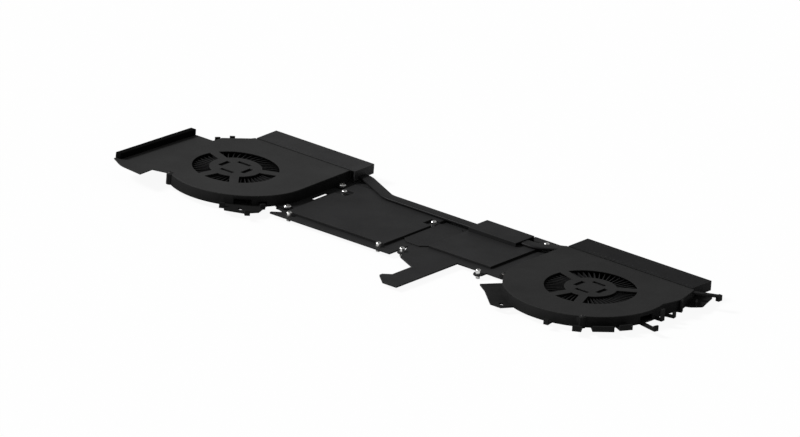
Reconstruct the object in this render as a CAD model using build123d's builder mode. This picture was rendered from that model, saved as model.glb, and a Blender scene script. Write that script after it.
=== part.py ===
from build123d import *

import os
from collections import namedtuple
from math import cos, degrees, radians, sin

# Twin-fan laptop cooling module. +X runs from the left fan to the right fan, +Y to the exhaust side,
# +Z up through the inlets. Z = 0 is the plane of the two chip contact faces.

# Stack heights
block_height = 2.6
carrier_thick = 0.8
spreader_thick = 1.1
pipe_thick = 1.4
fan_height = 5.4
cover_thick = 0.5
base_thick = 0.9
wall_thick = 1.0
shoulder_angle = 165.0

# Fan axes and exhaust line
left_axis_x = -102.0
left_axis_y = 1.6
right_axis_x = 99.5
right_axis_y = 3.0
exhaust_y = 52.0

# Left fan: side wall, scroll radii inside the wall, outlet and wheel
left_wall_x = 36.1
left_front_radius = 33.0
left_far_radius = 31.5
left_tongue_radius = 29.5
left_tongue_angle = 125.0
left_outlet_x = 16.0
left_outlet_y = 36.2
left_shoulder_x = 27.2
left_shoulder_y = 24.7
left_inlet_radius = 19.8
left_disc_radius = 12.0
left_wheel_radius = 26.5
left_blade_count = 47
left_exit_angle = -47.0
left_ear_rear = 27.7
left_ear_front = -12.7
left_tab = ((17.0, -30.5), (22.0, -36.5), (30.5, -33.0), (34.5, -27.0), (32.0, -18.0))
left_tab_hole = (27.0, -30.8)

# Right fan, mirrored, with the same meanings
right_wall_x = 39.0
right_front_radius = 37.9
right_far_radius = 36.5
right_tongue_radius = 34.5
right_tongue_angle = 138.0
right_outlet_x = 32.2
right_outlet_y = 33.3
right_shoulder_x = 37.3
right_shoulder_y = 18.0
right_inlet_radius = 21.2
right_disc_radius = 12.0
right_wheel_radius = 31.0
right_blade_count = 53
right_exit_angle = -8.0
right_ear_rear = 24.0
right_ear_front = -7.5
right_tab = ((36.0, -15.0), (43.3, -25.2), (37.2, -29.6), (25.0, -41.2), (19.0, -41.2), (15.0, -35.0))
right_tab_hole = (21.0, -38.0)

# Fan cover
spoke_width = 4.2
left_spokes = (157, 22, -55, -104)
right_spokes = (162, 37, -68, -107)
vent_radius = 6.4
vent_width = 2.2
vent_length = 7.0
vent_count = 4
wing_rear_y = 18.9
wing_rear_x = 40.4
wing_front_x = 44.0
wing_front_y = 33.0
wing_point_x = 36.4
wing_point_y = 38.0
wing_notch_x = 23.6
wing_end_y = 40.0
wing_notch_y = 31.0
wing_blend = 12.0

# Foam strip on the wing
gasket_width = 3.1
gasket_height = 2.8
gasket_end_gap = 0.8

# Impeller and motor
wheel_floor_gap = 0.5
hub_cover_gap = 0.35
blade_cover_gap = 0.5
hub_radius = 10.5
hub_wall = 0.8
hub_top_thick = 0.6
hub_boss_radius = 1.8
hub_boss_drop = 0.35
blade_thick = 0.4
blade_lag = 14.0
blade_middle_lag = 8.0
shaft_radius = 0.75
shaft_clearance = 0.02
shaft_end_gap = 0.1
sleeve_radius = 2.0
sleeve_top_gap = 0.2
boss_radius = 2.6
magnet_thick = 1.4
motor_sides = 16
magnet_height = 2.2
rotor_gap = 0.3
stator_thick = 0.6
stator_arms = 6
arm_width = 1.6
arm_tip_width = 4.6
arm_tip_length = 0.9
core_ring = 1.1
coil_wall = 0.8
coil_end_gap = 0.15
board_thick = 0.3
board_side = 13.0
fit_gap = 0.02
floor_vent_inner = 12.0
floor_vent_outer = 17.0
floor_vent_half = 46.0
floor_vent_count = 3
wire_notch_width = 4.0
wire_notch_height = 1.6
wire_notch_angle = -35.0

# Ears, tabs and hooks; small rounds are drawn with few sides
small_sides = 8
lobe_radius = 1.7
lobe_angle = -125.0
ear_radius = 2.6
ear_thick = 0.8
ear_root_width = 4.2
tab_hole_radius = 1.3
tab_thick = 0.8
exit_reach = 11.0
exit_width = 8.0
exit_height = 2.6
thin_hook = 2.4
broad_hook = 10.0
wide_hook = 4.2
step_hook = 6.3
hook_thick = 0.9
low_hook = 2.6
tall_hook = 5.6
rear_arm_reach = 45.4
rear_arm_rise = 38.6
rear_arm_width = 2.6
rear_arm_turn = 2.7
rear_arm_end = 1.8

# Fin stacks
left_fin_width = 56.0
fin_depth = 14.2
fin_rise = 0.3
fin_pitch = 2.2
right_fin_inset = 0.5
fin_thick = 0.25
pipe_gap = 0.03

# Heat pipes
pipe_width = 5.6
pipe_bend = 10.0
pipe_chamfer = 0.5
left_pipe_y = 31.6
left_channel_y = 43.4
right_pipe_y = 33.0
right_channel_y = 41.0
pipe_end_gap = 1.5
left_pipe_end = 23.0
left_bend_start = -59.0
left_bend_end = -38.0
right_pipe_start = 24.5
right_bend_start = 46.0
right_bend_end = 57.0

# Left carrier, spreader and contact block
left_plate_left = -64.6
left_plate_right = 3.4
left_plate_margin = 1.55
left_plate_lap = 0.8
left_flange_left = -65.0
left_notch_x = -60.4
left_notch_front = -19.4
left_notch_rear = -15.4
left_slot_x = -62.4
left_slot_y = 13.0
left_slot_width = 2.2
left_slot_length = 11.0
left_lobe_rear = 42.0
left_lobe_right = -57.0
left_lobe_end = -44.0
left_slab_left = -59.0
left_slab_lap = 1.2
slab_screw_gap = 1.25
left_screw_x = -30.7
left_screw_y = 2.65
left_screw_span_x = 51.0
left_screw_span_y = 40.7
left_block_x = -31.5
left_block_y = 5.0
left_block_width = 26.0
left_block_depth = 20.0

# Right carrier, spreader and contact block
right_plate_left = 3.6
right_plate_right = 55.6
right_plate_front = -7.0
right_plate_rear = 40.8
right_tab_left = 35.0
right_tab_right = 50.0
right_tab_rear = 46.4
right_slab_left = 11.0
right_slab_right = 46.6
right_slab_front = -1.75
right_screw_x = 46.2
right_screw_front = -10.6
right_screw_rear = 39.8
near_screw_x = 5.9
near_screw_y = -14.6
right_block_x = 28.5
right_block_y = 12.0
right_block_width = 20.0
right_block_depth = 18.0
slab_margin = 0.7
window_gap = 0.3

# Side arm of the right carrier
arm_base_left = 9.2
arm_base_front = -20.0
arm_left = 20.8
arm_right = 31.7
arm_front = -52.0
arm_knee_y = -26.3
arm_pad_left = 17.4
arm_pad_rear = -41.0
arm_corner = 3.0

# Pipe bridge
bridge_thick = 0.5
bridge_left = 11.7
bridge_right = 38.7
bridge_front = 26.6
bridge_rear = 40.4

# Sheet that joins the two carriers
link_thick = 0.5
link_screw_gap = 0.75
link_right = 10.4
link_front = -4.0
link_rear = 27.5

# Captive screws
captive_radius = 1.0
captive_head = 1.25
captive_head_height = 1.9
captive_sides = 10
captive_tip_z = 0.2
captive_neck = 0.85
captive_neck_drop = 0.15
captive_hole_gap = 0.25
captive_ear = 2.2
notch_half = 3.4

# Levels that follow from the stack
carrier_top = block_height
carrier_bottom = carrier_top - carrier_thick
spreader_top = carrier_top + spreader_thick
pipe_top = spreader_top + pipe_thick
fan_bottom = carrier_top
fan_top = fan_bottom + fan_height
cover_bottom = fan_top - cover_thick
base_top = fan_bottom + base_thick
wheel_bottom = base_top + wheel_floor_gap
hub_top = cover_bottom - hub_cover_gap
hub_ceiling = hub_top - hub_top_thick
blade_top = cover_bottom - blade_cover_gap
boss_top = hub_ceiling - hub_boss_drop - sleeve_top_gap
magnet_outer = hub_radius - hub_wall
magnet_inner = magnet_outer - magnet_thick
magnet_flat = magnet_inner * cos(radians(180 / motor_sides))
stator_radius = ((magnet_flat - rotor_gap) ** 2 - (arm_tip_width / 2) ** 2) ** 0.5
stator_bottom = wheel_bottom + (magnet_height - stator_thick) / 2
left_plate_rear = left_pipe_y + pipe_width / 2 + slab_margin
captive_bore = captive_radius + captive_hole_gap
neck_bottom = carrier_bottom - captive_neck_drop
left_screw_front = left_screw_y - left_screw_span_y / 2
left_plate_front = left_screw_front - captive_bore - left_plate_margin
left_slab_front = left_screw_front + captive_head + slab_screw_gap
left_slab_right = left_screw_x + left_screw_span_x / 2 + left_slab_lap
link_left = left_screw_x + left_screw_span_x / 2 + captive_head + link_screw_gap

Fan = namedtuple(
    "Fan",
    "name x y side wall_x front_r far_r tongue_r tongue_angle outlet_x outlet_y shoulder_x shoulder_y"
    " inlet_r disc_r wheel_r blades spokes ear_rear ear_front tab tab_hole exit_angle",
)
left_fan = Fan(
    "left", left_axis_x, left_axis_y, 1, left_wall_x, left_front_radius, left_far_radius,
    left_tongue_radius, left_tongue_angle, left_outlet_x, left_outlet_y, left_shoulder_x,
    left_shoulder_y, left_inlet_radius, left_disc_radius, left_wheel_radius, left_blade_count,
    left_spokes, left_ear_rear, left_ear_front, left_tab, left_tab_hole, left_exit_angle,
)
right_fan = Fan(
    "right", right_axis_x, right_axis_y, -1, right_wall_x, right_front_radius, right_far_radius,
    right_tongue_radius, right_tongue_angle, right_outlet_x, right_outlet_y, right_shoulder_x,
    right_shoulder_y, right_inlet_radius, right_disc_radius, right_wheel_radius, right_blade_count,
    right_spokes, right_ear_rear, right_ear_front, right_tab, right_tab_hole, right_exit_angle,
)


def place(fan, x, y):
    """A point of the fan's own plan, mirrored for the right fan."""
    return (fan.x + fan.side * x, fan.y + y)


def polar(fan, centre, radius, angle):
    return place(fan, centre[0] + radius * cos(radians(angle)), centre[1] + radius * sin(radians(angle)))


def scroll_centres(fan):
    """Centres of the scroll's three arcs: front, far side and tongue."""
    front = (fan.wall_x - fan.front_r, 0.0)
    far = (front[0], fan.far_r - fan.front_r)
    tongue = (far[0] - fan.far_r + fan.tongue_r, far[1])
    return front, far, tongue


def trace_scroll(fan, grow, last_angle):
    """Side wall and scroll arcs in the current line, moved outwards by grow. Returns the last point."""
    front, far, tongue = scroll_centres(fan)
    side = fan.wall_x + grow
    Line(place(fan, side, fan.outlet_y), place(fan, side, 0))
    for centre, radius, start, end in (
        (front, fan.front_r + grow, 0, -90),
        (far, fan.far_r + grow, -90, -180),
        (tongue, fan.tongue_r + grow, -180, last_angle - 360),
    ):
        middle = (start + end) / 2
        ThreePointArc(*(polar(fan, centre, radius, a) for a in (start, middle, end)))
    return polar(fan, tongue, fan.tongue_r + grow, last_angle)


def trace_outside(fan):
    """Closed outline of the housing and its cover."""
    end = trace_scroll(fan, wall_thick, shoulder_angle)
    outlet = fan.outlet_x + wall_thick
    Polyline(
        end,
        place(fan, -fan.shoulder_x, fan.shoulder_y),
        place(fan, -outlet - wall_thick, fan.outlet_y - 2 * wall_thick),
        place(fan, -outlet, fan.outlet_y),
        place(fan, fan.wall_x + wall_thick, fan.outlet_y),
    )


def lobe_point(fan):
    """Centre of the screw lobe on the scroll's far side."""
    _, far, _ = scroll_centres(fan)
    return polar(fan, far, fan.far_r + wall_thick, lobe_angle)


def ear_points(fan):
    """Ears on the straight side wall, over the carrier plate."""
    reach = fan.wall_x + wall_thick + ear_radius
    return [place(fan, reach, fan.ear_rear), place(fan, reach, fan.ear_front)]


def tab_outline(fan):
    """Mounting tab at the foot of the scroll's front."""
    return [place(fan, x, y) for x, y in fan.tab]


def finish(builder, name):
    builder.part.label = name
    export_step(builder.part, "parts/" + name + ".step")


def make_housing(fan):
    front, _, _ = scroll_centres(fan)
    with BuildPart() as housing:
        with BuildSketch(Plane.XY.offset(fan_bottom)):
            with BuildLine():
                trace_outside(fan)
            make_face()
            with Locations(lobe_point(fan)):
                RegularPolygon(lobe_radius, small_sides)
        extrude(amount=cover_bottom - fan_bottom)
        # Scroll space, open at the top and at the outlet
        with BuildSketch(Plane.XY.offset(base_top)):
            with BuildLine():
                end = trace_scroll(fan, 0, fan.tongue_angle)
                beyond = fan.outlet_y + wall_thick
                Polyline(
                    end,
                    place(fan, -fan.outlet_x, fan.outlet_y),
                    place(fan, -fan.outlet_x, beyond),
                    place(fan, fan.wall_x, beyond),
                    place(fan, fan.wall_x, fan.outlet_y),
                )
            make_face()
        extrude(amount=fan_height, mode=Mode.SUBTRACT)
        # Floor openings round the motor
        with BuildSketch(Plane.XY.offset(fan_bottom)):
            with Locations((fan.x, fan.y)):
                with PolarLocations(0, floor_vent_count):
                    Polygon(*floor_vent(), align=None)
        extrude(amount=base_thick, mode=Mode.SUBTRACT)
        # Bearing boss
        with BuildSketch(Plane.XY.offset(base_top)):
            with Locations((fan.x, fan.y)):
                RegularPolygon(boss_radius, motor_sides)
                Circle(sleeve_radius, mode=Mode.SUBTRACT)
        extrude(amount=boss_top - base_top)
        # Ears over the carrier
        with BuildSketch(Plane.XY.offset(fan_bottom)):
            with Locations(*ear_points(fan)):
                RegularPolygon(ear_radius, small_sides)
            for x, y in ear_points(fan):
                with Locations((x - fan.side * ear_radius, y)):
                    Rectangle(2 * ear_radius, ear_root_width)
        extrude(amount=ear_thick)
        # Opening in the wall for the fan's wires
        with Locations(Location((fan.x, fan.y, base_top), (0, 0, fan.exit_angle))):
            with Locations((fan.wheel_r, 0, 0)):
                Box(
                    exit_reach, exit_width, exit_height,
                    align=(Align.MIN, Align.CENTER, Align.MIN), mode=Mode.SUBTRACT,
                )
        # Mounting tab with its chassis hole
        with BuildSketch(Plane.XY.offset(fan_bottom)):
            with BuildLine():
                Polyline(*tab_outline(fan), close=True)
            make_face()
            with Locations(place(fan, *fan.tab_hole)):
                Circle(tab_hole_radius, mode=Mode.SUBTRACT)
        extrude(amount=tab_thick)
        add_hooks(fan)
        if fan.name == "right":
            # Arm beside the outlet with its end turned down
            with BuildSketch(Plane.XY.offset(cover_bottom - hook_thick)):
                with BuildLine():
                    Polyline(*rear_arm_outline(fan), close=True)
                make_face()
            extrude(amount=hook_thick)
            arm_end = place(fan, -rear_arm_reach + rear_arm_end / 2, rear_arm_rise - rear_arm_width / 2)
            with Locations((*arm_end, cover_bottom)):
                Box(
                    rear_arm_end, rear_arm_width, rear_arm_turn,
                    align=(Align.CENTER, Align.CENTER, Align.MAX),
                )
        # Wire notch through the wall
        notch = polar(fan, front, fan.front_r + wall_thick / 2, wire_notch_angle)
        notch_turn = wire_notch_angle if fan.side > 0 else 180 - wire_notch_angle
        with BuildSketch(Plane.XY.offset(base_top)):
            with Locations(Location((*notch, 0), (0, 0, notch_turn))):
                Rectangle(3 * wall_thick, wire_notch_width)
        extrude(amount=wire_notch_height, mode=Mode.SUBTRACT)
    finish(housing, fan.name + "_fan_housing")


def floor_vent():
    """One of the openings in the floor, bent once to go round the motor."""
    inner = [(floor_vent_inner, angle) for angle in (-floor_vent_half, 0, floor_vent_half)]
    outer = [(floor_vent_outer, angle) for angle in (floor_vent_half, 0, -floor_vent_half)]
    return [(radius * cos(radians(angle)), radius * sin(radians(angle))) for radius, angle in inner + outer]


def add_hooks(fan):
    """Cable hooks: arms from the foot of the scroll wall with a turned-up end."""
    for angle, root, reach, width, rise in hook_places[fan.name]:
        turn = angle if fan.side > 0 else 180 - angle
        with Locations(Location((fan.x, fan.y, fan_bottom), (0, 0, turn))):
            with Locations((root, 0, 0)):
                Box(reach - root, width, hook_thick, align=(Align.MIN, Align.CENTER, Align.MIN))
            with Locations((reach - hook_thick, 0, 0)):
                Box(hook_thick, width, rise, align=(Align.MIN, Align.CENTER, Align.MIN))


# Cable hooks of each fan: angle, root and reach from the axis, width, height of the turned-up end
hook_places = {
    "left": (
        (-61, 34.8, 40.0, thin_hook, low_hook),
        (-45.5, 38.0, 47.5, thin_hook, low_hook),
        (-34, 36.0, 40.0, thin_hook, low_hook),
        (130, 36.6, 39.2, thin_hook, tall_hook),
        (140.5, 34.8, 37.5, thin_hook, tall_hook),
    ),
    "right": (
        (-100, 38.2, 42.9, thin_hook, low_hook),
        (-120, 37.6, 44.6, wide_hook, low_hook),
        (-136, 37.0, 42.8, broad_hook, low_hook),
        (-151, 36.4, 41.7, step_hook, low_hook),
        (-167, 36.0, 47.45, thin_hook, low_hook),
        (-183, 36.0, 40.2, thin_hook, tall_hook),
        (-193, 35.6, 42.3, thin_hook, low_hook),
        (-205, 38.0, 42.8, thin_hook, tall_hook),
        (-217, 38.0, 48.5, wide_hook, low_hook),
    ),
}


def rear_arm_outline(fan):
    """Cable arm beside the outlet."""
    root_x = fan.outlet_x + wall_thick / 2
    root_y = fan.outlet_y - wall_thick / 2
    return [
        place(fan, -root_x, root_y - rear_arm_width),
        place(fan, -rear_arm_reach, rear_arm_rise - rear_arm_width),
        place(fan, -rear_arm_reach, rear_arm_rise),
        place(fan, -root_x, root_y),
    ]


def make_cover(fan):
    with BuildPart() as cover:
        with BuildSketch(Plane.XY.offset(cover_bottom)):
            with BuildLine():
                trace_outside(fan)
            make_face()
            with Locations(lobe_point(fan)):
                RegularPolygon(lobe_radius, small_sides)
            if fan.name == "left":
                with BuildLine():
                    Polyline(*wing_outline(fan), close=True)
                make_face()
            with Locations((fan.x, fan.y)):
                Circle(fan.inlet_r, mode=Mode.SUBTRACT)
                Circle(fan.disc_r)
                for angle in fan.spokes:
                    Rectangle(
                        fan.inlet_r + wall_thick, spoke_width, rotation=angle, align=(Align.MIN, Align.CENTER)
                    )
                # Stamped vents in the disc
                with PolarLocations(vent_radius, vent_count):
                    Rectangle(vent_width, vent_length, mode=Mode.SUBTRACT)
        extrude(amount=cover_thick)
        if fan.name == "left":
            upright = cover.edges().filter_by(Axis.Z)
            point = place(fan, -wing_point_x, -wing_point_y)
            fillet(upright.sort_by_distance((*point, cover_bottom))[0], wing_blend)
    finish(cover, fan.name + "_fan_cover")


def wing_outline(fan):
    return [
        place(fan, -fan.outlet_x, wing_rear_y),
        place(fan, -wing_rear_x, wing_rear_y),
        place(fan, -wing_front_x, -wing_front_y),
        place(fan, -wing_point_x, -wing_point_y),
        place(fan, -wing_notch_x, -wing_end_y),
        place(fan, -wing_notch_x, -wing_notch_y),
        place(fan, -fan.outlet_x, -wing_notch_y + 2 * wall_thick),
    ]


def make_gasket(fan):
    slope = (wing_front_x - wing_rear_x) / (wing_rear_y + wing_front_y)
    front_y = -wing_front_y + gasket_end_gap
    front_x = wing_rear_x + slope * (wing_rear_y - front_y)
    with BuildPart() as gasket:
        with BuildSketch(Plane.XY.offset(fan_top)):
            with BuildLine():
                Polyline(
                    place(fan, -wing_rear_x, wing_rear_y),
                    place(fan, -front_x, front_y),
                    place(fan, -front_x + gasket_width, front_y),
                    place(fan, -wing_rear_x + gasket_width, wing_rear_y),
                    close=True,
                )
            make_face()
        extrude(amount=gasket_height)
    finish(gasket, "gasket_strip")


def make_impeller(fan):
    with BuildPart() as impeller:
        # Hub, with a side for each of the blades that lag behind its turning
        with BuildSketch(Plane.XY.offset(wheel_bottom)):
            with Locations((fan.x, fan.y)):
                RegularPolygon(hub_radius, fan.blades)
        extrude(amount=hub_top - wheel_bottom)
        blade = blade_face(fan)
        with BuildSketch(Plane.XY.offset(wheel_bottom)):
            with Locations((fan.x, fan.y)):
                with PolarLocations(0, fan.blades):
                    add(blade)
        extrude(amount=blade_top - wheel_bottom)
        # Cup for the motor, with the shaft's boss and seat
        with BuildSketch(Plane.XY.offset(wheel_bottom)):
            with Locations((fan.x, fan.y)):
                RegularPolygon(magnet_outer, motor_sides)
        extrude(amount=hub_ceiling - wheel_bottom, mode=Mode.SUBTRACT)
        with BuildSketch(Plane.XY.offset(hub_ceiling - hub_boss_drop)):
            with Locations((fan.x, fan.y)):
                Circle(hub_boss_radius)
        extrude(amount=hub_boss_drop)
        with BuildSketch(Plane.XY.offset(hub_ceiling - hub_boss_drop)):
            with Locations((fan.x, fan.y)):
                Circle(shaft_radius)
        extrude(amount=hub_boss_drop + hub_top_thick / 2, mode=Mode.SUBTRACT)
    finish(impeller, fan.name + "_impeller")


def blade_face(fan):
    """One blade's section about the origin, of even thickness and bent back half-way."""
    root = hub_radius - hub_wall / 2
    stations = ((root, 0), ((root + fan.wheel_r) / 2, blade_middle_lag), (fan.wheel_r, blade_lag))
    sides = []
    for offset in (0, blade_thick):
        angles = [(radius, fan.side * (degrees(offset / radius) - lag)) for radius, lag in stations]
        sides.append([(radius * cos(radians(a)), radius * sin(radians(a))) for radius, a in angles])
    lead, trail = sides
    with BuildSketch(mode=Mode.PRIVATE) as blade:
        with BuildLine():
            Polyline(*lead, *reversed(trail), close=True)
        make_face()
    return blade.sketch


def make_ring(fan, name, outer, inner, bottom, top):
    with BuildPart() as ring:
        with BuildSketch(Plane.XY.offset(bottom)):
            with Locations((fan.x, fan.y)):
                Circle(outer)
                if inner > 0:
                    Circle(inner, mode=Mode.SUBTRACT)
        extrude(amount=top - bottom)
    finish(ring, fan.name + "_" + name)


def make_motor(fan):
    with BuildPart() as magnet:
        with BuildSketch(Plane.XY.offset(wheel_bottom)):
            with Locations((fan.x, fan.y)):
                RegularPolygon(magnet_outer, motor_sides)
                RegularPolygon(magnet_inner, motor_sides, mode=Mode.SUBTRACT)
        extrude(amount=magnet_height)
    finish(magnet, fan.name + "_rotor_magnet")
    make_ring(fan, "rotor_shaft", shaft_radius, 0, base_top + shaft_end_gap, hub_ceiling + hub_top_thick / 2)
    make_ring(fan, "bearing_sleeve", sleeve_radius, shaft_radius + shaft_clearance, base_top, boss_top)
    with BuildPart() as board:
        with BuildSketch(Plane.XY.offset(base_top)):
            with Locations((fan.x, fan.y)):
                Rectangle(board_side, board_side)
                RegularPolygon(boss_radius + fit_gap, small_sides, major_radius=False, mode=Mode.SUBTRACT)
        extrude(amount=board_thick)
    finish(board, fan.name + "_motor_board")
    core_radius = boss_radius + core_ring
    arm_end = stator_radius - arm_tip_length
    with BuildPart() as core:
        with BuildSketch(Plane.XY.offset(stator_bottom)):
            with Locations((fan.x, fan.y)):
                RegularPolygon(core_radius, stator_arms)
                with PolarLocations((core_radius + stator_radius) / 2, stator_arms):
                    Rectangle(stator_radius - core_radius + core_ring, arm_width)
                with PolarLocations(stator_radius - arm_tip_length / 2, stator_arms):
                    Rectangle(arm_tip_length, arm_tip_width)
                hole = boss_radius + fit_gap
                RegularPolygon(hole, stator_arms, major_radius=False, mode=Mode.SUBTRACT)
        extrude(amount=stator_thick)
    finish(core, fan.name + "_stator_core")
    coil_length = arm_end - core_radius - 2 * coil_end_gap
    coil_height = stator_thick + 2 * coil_wall
    with BuildPart() as coils:
        with Locations((fan.x, fan.y, stator_bottom - coil_wall)):
            with PolarLocations(core_radius + coil_end_gap + coil_length / 2, stator_arms):
                Box(
                    coil_length, arm_width + 2 * coil_wall, coil_height,
                    align=(Align.CENTER, Align.CENTER, Align.MIN),
                )
        with Locations((fan.x, fan.y, stator_bottom - fit_gap)):
            with PolarLocations(core_radius + coil_end_gap + coil_length / 2, stator_arms):
                Box(
                    2 * coil_length, arm_width + 2 * fit_gap, stator_thick + 2 * fit_gap,
                    align=(Align.CENTER, Align.CENTER, Align.MIN), mode=Mode.SUBTRACT,
                )
    finish(coils, fan.name + "_stator_coils")


def make_fins(name, left, right, rear, channel_y):
    """Zipped fins: a top and bottom skin, upright fins and an open channel for the pipe."""
    middle = (left + right) / 2
    front = rear - fin_depth
    gap = fin_pitch - fin_thick
    count = int((right - left - fin_thick) / fin_pitch)
    channel_half = pipe_width / 2 + pipe_gap
    channel_top = pipe_top + pipe_gap
    fin_top = fan_top + fin_rise
    zones = (
        (channel_top + fin_thick, fin_top - fin_thick, front, rear),
        (spreader_top + fin_thick, channel_top + fin_thick, channel_y + channel_half + fin_thick, rear),
        (spreader_top + fin_thick, channel_top + fin_thick, front, channel_y - channel_half - fin_thick),
    )
    with BuildPart() as fins:
        with BuildSketch(Plane.XY.offset(spreader_top)):
            with Locations((middle, (front + rear) / 2)):
                Rectangle(right - left, fin_depth)
        extrude(amount=fin_top - spreader_top)
        with BuildSketch(Plane.XY.offset(spreader_top)):
            with Locations((middle, channel_y)):
                Rectangle(right - left, 2 * channel_half)
        extrude(amount=channel_top - spreader_top, mode=Mode.SUBTRACT)
        for low, high, zone_front, zone_rear in zones:
            with BuildSketch(Plane.XY.offset(low)):
                with Locations((middle, (zone_front + zone_rear) / 2)):
                    with GridLocations(fin_pitch, 1, count, 1):
                        Rectangle(gap, zone_rear - zone_front)
            extrude(amount=high - low, mode=Mode.SUBTRACT)
    finish(fins, name)


def make_pipe(name, route):
    with BuildPart() as pipe:
        with BuildLine() as path:
            FilletPolyline(*[(x, y, spreader_top + pipe_thick / 2) for x, y in route], radius=pipe_bend)
        with BuildSketch(Plane(path.line @ 0, x_dir=(0, 1, 0), z_dir=path.line % 0)) as section:
            Rectangle(pipe_width, pipe_thick)
            chamfer(section.vertices(), pipe_chamfer)
        sweep()
    finish(pipe, name)


def make_slab(name, left, right, front, rear, notches):
    """A copper slab with notches round the captive screws near its edges."""
    with BuildPart() as slab:
        with BuildSketch(Plane.XY.offset(carrier_top)):
            with Locations(((left + right) / 2, (front + rear) / 2)):
                Rectangle(right - left, rear - front)
            if notches:
                with Locations(*notches):
                    Rectangle(2 * notch_half, 2 * notch_half, mode=Mode.SUBTRACT)
        extrude(amount=spreader_thick)
    finish(slab, name)


def make_block(name, x, y, width, depth):
    with BuildPart() as block:
        with BuildSketch():
            with Locations((x, y)):
                Rectangle(width, depth)
        extrude(amount=block_height)
    finish(block, name)


def make_left_carrier():
    with BuildPart() as carrier:
        with BuildSketch(Plane.XY.offset(carrier_bottom)):
            middle = ((left_plate_left + left_plate_right) / 2, (left_plate_front + left_plate_rear) / 2)
            with Locations(middle):
                Rectangle(left_plate_right - left_plate_left, left_plate_rear - left_plate_front)
            flange_middle = ((left_flange_left + left_plate_right) / 2, (left_plate_front + left_slab_front) / 2)
            with Locations(flange_middle):
                Rectangle(left_plate_right - left_flange_left, left_slab_front - left_plate_front)
            # Lobe under the pipe's bend
            with BuildLine():
                Polyline(
                    (left_plate_left, left_plate_rear),
                    (left_plate_left, left_lobe_rear),
                    (left_lobe_right, left_lobe_rear),
                    (left_lobe_end, left_plate_rear),
                    close=True,
                )
            make_face()
            # Strip that reaches under the fan's edge
            strip_left = left_axis_x + left_wall_x - left_plate_lap
            strip_front = left_axis_y + left_ear_front - ear_radius
            with Locations(((strip_left + left_plate_left) / 2, (strip_front + left_plate_rear) / 2)):
                Rectangle(left_plate_left - strip_left, left_plate_rear - strip_front)
            # Clearance beside the fan: an open notch and a slot
            with BuildLine():
                Polyline(
                    (left_flange_left, left_notch_front),
                    (left_notch_x, left_notch_rear),
                    (left_flange_left, strip_front),
                    close=True,
                )
            make_face(mode=Mode.SUBTRACT)
            with Locations((left_slot_x, left_slot_y)):
                Rectangle(left_slot_width, left_slot_length, mode=Mode.SUBTRACT)
            with Locations(*ear_points(left_fan)):
                RegularPolygon(ear_radius, small_sides)
            with Locations((left_block_x, left_block_y)):
                Rectangle(left_block_width + 2 * window_gap, left_block_depth + 2 * window_gap, mode=Mode.SUBTRACT)
            with Locations(*left_captives):
                RegularPolygon(captive_bore, small_sides, mode=Mode.SUBTRACT)
        extrude(amount=carrier_thick)
    finish(carrier, "left_carrier_plate")


def make_right_carrier():
    with BuildPart() as carrier:
        with BuildSketch(Plane.XY.offset(carrier_bottom)):
            middle = ((right_slab_left + right_plate_right) / 2, (right_plate_front + right_plate_rear) / 2)
            with Locations(middle):
                Rectangle(right_plate_right - right_slab_left, right_plate_rear - right_plate_front)
            strip_middle = ((right_plate_left + right_slab_left) / 2, (right_plate_front + left_plate_rear) / 2)
            with Locations(strip_middle):
                Rectangle(right_slab_left - right_plate_left, left_plate_rear - right_plate_front)
            tab_middle = ((right_tab_left + right_tab_right) / 2, (right_plate_front + right_tab_rear) / 2)
            with Locations(tab_middle):
                Rectangle(right_tab_right - right_tab_left, right_tab_rear - right_plate_front)
            # Side arm with its pad
            with BuildLine():
                Polyline(
                    (right_plate_left, right_plate_front),
                    (arm_base_left, arm_base_front),
                    (arm_left, arm_knee_y),
                    (arm_left, arm_pad_rear),
                    (arm_pad_left, arm_pad_rear - arm_corner),
                    (arm_pad_left, arm_front + 2 * arm_corner),
                    (arm_left + arm_corner, arm_front),
                    (arm_right, arm_front),
                    (arm_right, right_plate_front),
                    close=True,
                )
            make_face()
            with Locations(*right_captives):
                RegularPolygon(captive_ear, small_sides)
            with Locations((right_screw_x, (right_screw_front + right_plate_front) / 2)):
                Rectangle(2 * captive_ear, right_plate_front - right_screw_front)
            for x, y in ear_points(right_fan):
                with Locations((x - ear_radius, y)):
                    Rectangle(2 * ear_radius, 2 * ear_radius)
            with Locations(*ear_points(right_fan)):
                RegularPolygon(ear_radius, small_sides)
            with Locations((right_block_x, right_block_y)):
                Rectangle(right_block_width + 2 * window_gap, right_block_depth + 2 * window_gap, mode=Mode.SUBTRACT)
            with Locations(*right_captives):
                RegularPolygon(captive_bore, small_sides, mode=Mode.SUBTRACT)
        extrude(amount=carrier_thick)
    finish(carrier, "right_carrier_plate")


def make_bridge():
    """Folded sheet over the right pipe: the front leg on the spreader, the rear leg on the carrier."""
    front = bridge_front
    rear = bridge_rear - bridge_thick
    with BuildPart() as bridge:
        with BuildSketch(Plane.YZ.offset(bridge_left)):
            with BuildLine():
                Polyline(
                    (front, spreader_top),
                    (front, pipe_top + bridge_thick),
                    (rear + bridge_thick, pipe_top + bridge_thick),
                    (rear + bridge_thick, carrier_top),
                    (rear, carrier_top),
                    (rear, pipe_top),
                    (front + bridge_thick, pipe_top),
                    (front + bridge_thick, spreader_top),
                    close=True,
                )
            make_face()
        extrude(amount=bridge_right - bridge_left)
    finish(bridge, "pipe_bridge")


def make_link():
    """Flat sheet on both carriers, between the two spreaders."""
    with BuildPart() as link:
        with BuildSketch(Plane.XY.offset(carrier_top)):
            with Locations(((link_left + link_right) / 2, (link_front + link_rear) / 2)):
                Rectangle(link_right - link_left, link_rear - link_front)
        extrude(amount=link_thick)
        chamfer(link.edges().filter_by(Axis.Z), arm_corner)
    finish(link, "link_sheet")


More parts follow.
